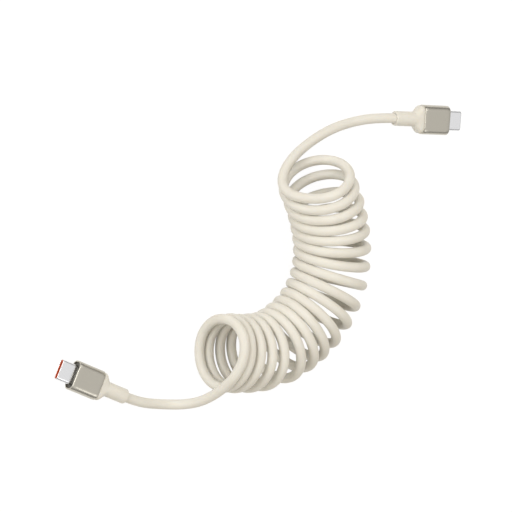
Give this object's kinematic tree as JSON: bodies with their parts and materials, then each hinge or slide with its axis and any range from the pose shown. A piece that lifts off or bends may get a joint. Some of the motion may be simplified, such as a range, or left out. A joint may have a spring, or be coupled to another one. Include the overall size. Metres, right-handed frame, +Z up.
{
  "type": "curly usb-c cable",
  "caption": "Coiled charging cable: an ivory cord wound into a springy coil, with a metal-sleeved USB-C plug and a moulded boot on each end.",
  "frame": {"origin": "on the surface that the cable lies on, midway between the two plugs", "axes": "+Z up from that surface; +X from the first plug towards the second"},
  "size_m": [0.2112, 0.0787, 0.0315],
  "materials": {
    "ivory_jacket": "matte soft-touch ivory",
    "satin_nickel": "satin warm nickel, polished along the round sides",
    "dark_nose": "matte dark grey",
    "shell_steel": "bright drawn steel",
    "orange_insulator": "matte orange-red",
    "contact_gold": "gold plated",
    "spring_steel": "plain spring steel",
    "board_green": "solder mask",
    "chip_black": "matte black",
    "can_steel": "tinned steel",
    "mould_grey": "plain moulding",
    "wire_colours": "coloured wire insulation"
  },
  "bodies": {
    "root": {"sleeve_a": "satin_nickel", "nose_plate_a": "dark_nose", "boot_a": "ivory_jacket", "shell_a": "shell_steel", "insulator_a": "orange_insulator", "upper_contacts_a": "contact_gold", "lower_contacts_a": "contact_gold", "latch_plate_a": "spring_steel", "ground_springs_a": "spring_steel", "board_a": "board_green", "board_chips_a": "chip_black", "shield_can_a": "can_steel", "inner_mould_a": "mould_grey", "cord_end_a": "ivory_jacket", "wires_a": "wire_colours", "sleeve_b": "satin_nickel", "nose_plate_b": "dark_nose", "boot_b": "ivory_jacket", "shell_b": "shell_steel", "insulator_b": "orange_insulator", "upper_contacts_b": "contact_gold", "lower_contacts_b": "contact_gold", "latch_plate_b": "spring_steel", "ground_springs_b": "spring_steel", "board_b": "board_green", "board_chips_b": "chip_black", "shield_can_b": "can_steel", "inner_mould_b": "mould_grey", "cord_end_b": "ivory_jacket", "wires_b": "wire_colours", "lead_a": "ivory_jacket", "lead_b": "ivory_jacket", "coil": "ivory_jacket"}
  },
  "joints": []
}
